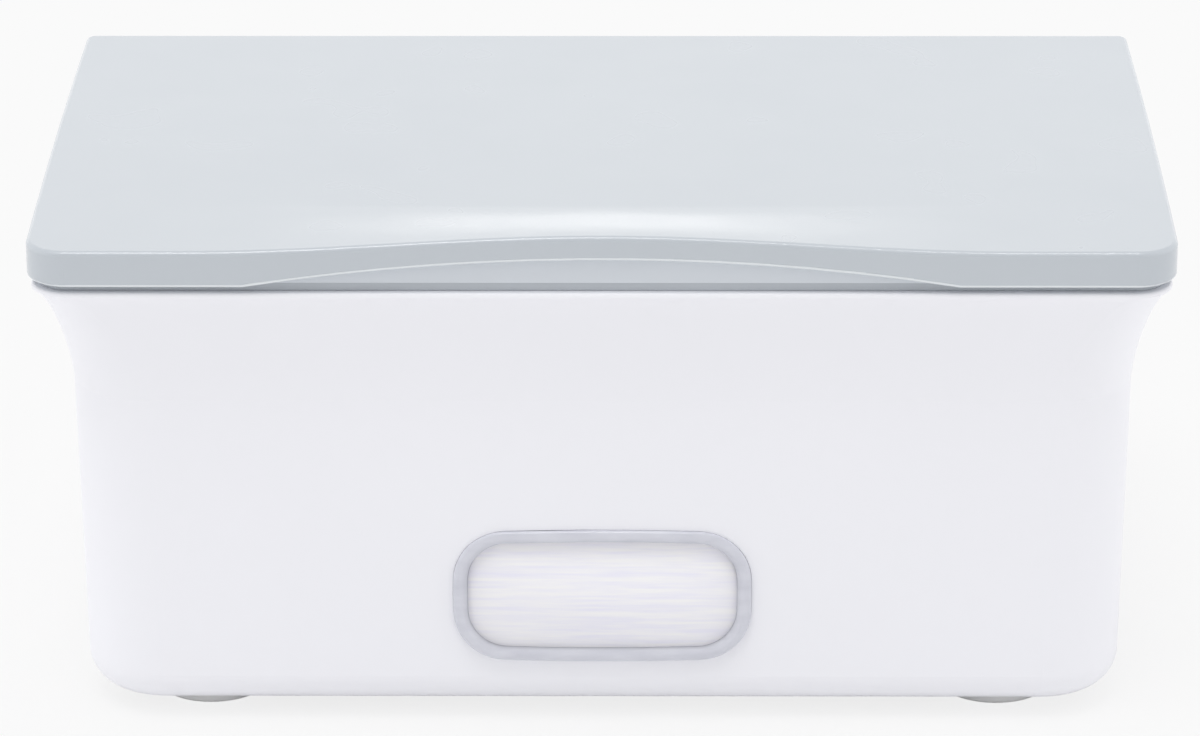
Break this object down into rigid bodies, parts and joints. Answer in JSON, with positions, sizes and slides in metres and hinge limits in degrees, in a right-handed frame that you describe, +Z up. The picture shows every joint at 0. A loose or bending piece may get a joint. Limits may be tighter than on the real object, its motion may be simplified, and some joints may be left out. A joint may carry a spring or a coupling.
{
  "type": "wipes dispenser",
  "caption": "Desktop box for folded wet wipes: flared tub on soft feet, hinged sealed lid with a finger arch, front level window and a weighted plate with a pull-out slot.",
  "frame": {"origin": "centre of the footprint, at the level that the feet stand on", "axes": "+X to the right as seen from the front, +Y from the front to the hinge at the back, +Z up"},
  "size_m": [0.222, 0.13, 0.106],
  "materials": {
    "tub_white": "smooth glossy moulded white plastic",
    "lid_grey": "smooth glossy moulded pale blue-grey plastic",
    "window_clear": "polished clear moulded plastic",
    "seal_grey": "matte grey silicone",
    "foot_pale": "matte translucent white silicone",
    "plate_white": "fine satin moulded white plastic",
    "steel": "plain stainless steel",
    "wipes": "soft damp folded nonwoven"
  },
  "bodies": {
    "body": {"tub_shell": "tub_white", "window_lens": "window_clear", "window_seal": "seal_grey", "window_retainer": "tub_white", "hinge_pin_left": "steel", "hinge_pin_right": "steel", "foot_front_left": "foot_pale", "foot_front_right": "foot_pale", "foot_rear_left": "foot_pale", "foot_rear_right": "foot_pale", "wipes_stack": "wipes"},
    "lid": {"lid_cover": "lid_grey", "lid_liner": "lid_grey", "lid_seal": "seal_grey"},
    "plate": {"plate_cover": "plate_white", "plate_base": "plate_white", "plate_weight_left": "steel", "plate_weight_right": "steel", "plate_screw_front_left": "steel", "plate_screw_front_right": "steel", "plate_screw_rear_left": "steel", "plate_screw_rear_right": "steel"}
  },
  "joints": [
    {"name": "lid_hinge", "type": "hinge", "parent": "body", "child": "lid", "pos_m": [0, 0.0622, 0.0925], "axis": [-1, 0, 0], "range_deg": [0, 105]},
    {"name": "plate_drop", "type": "slide", "parent": "body", "child": "plate", "axis": [0, 0, 1], "range_m": [-0.045, 0], "deforming": ["wipes_stack"]}
  ]
}
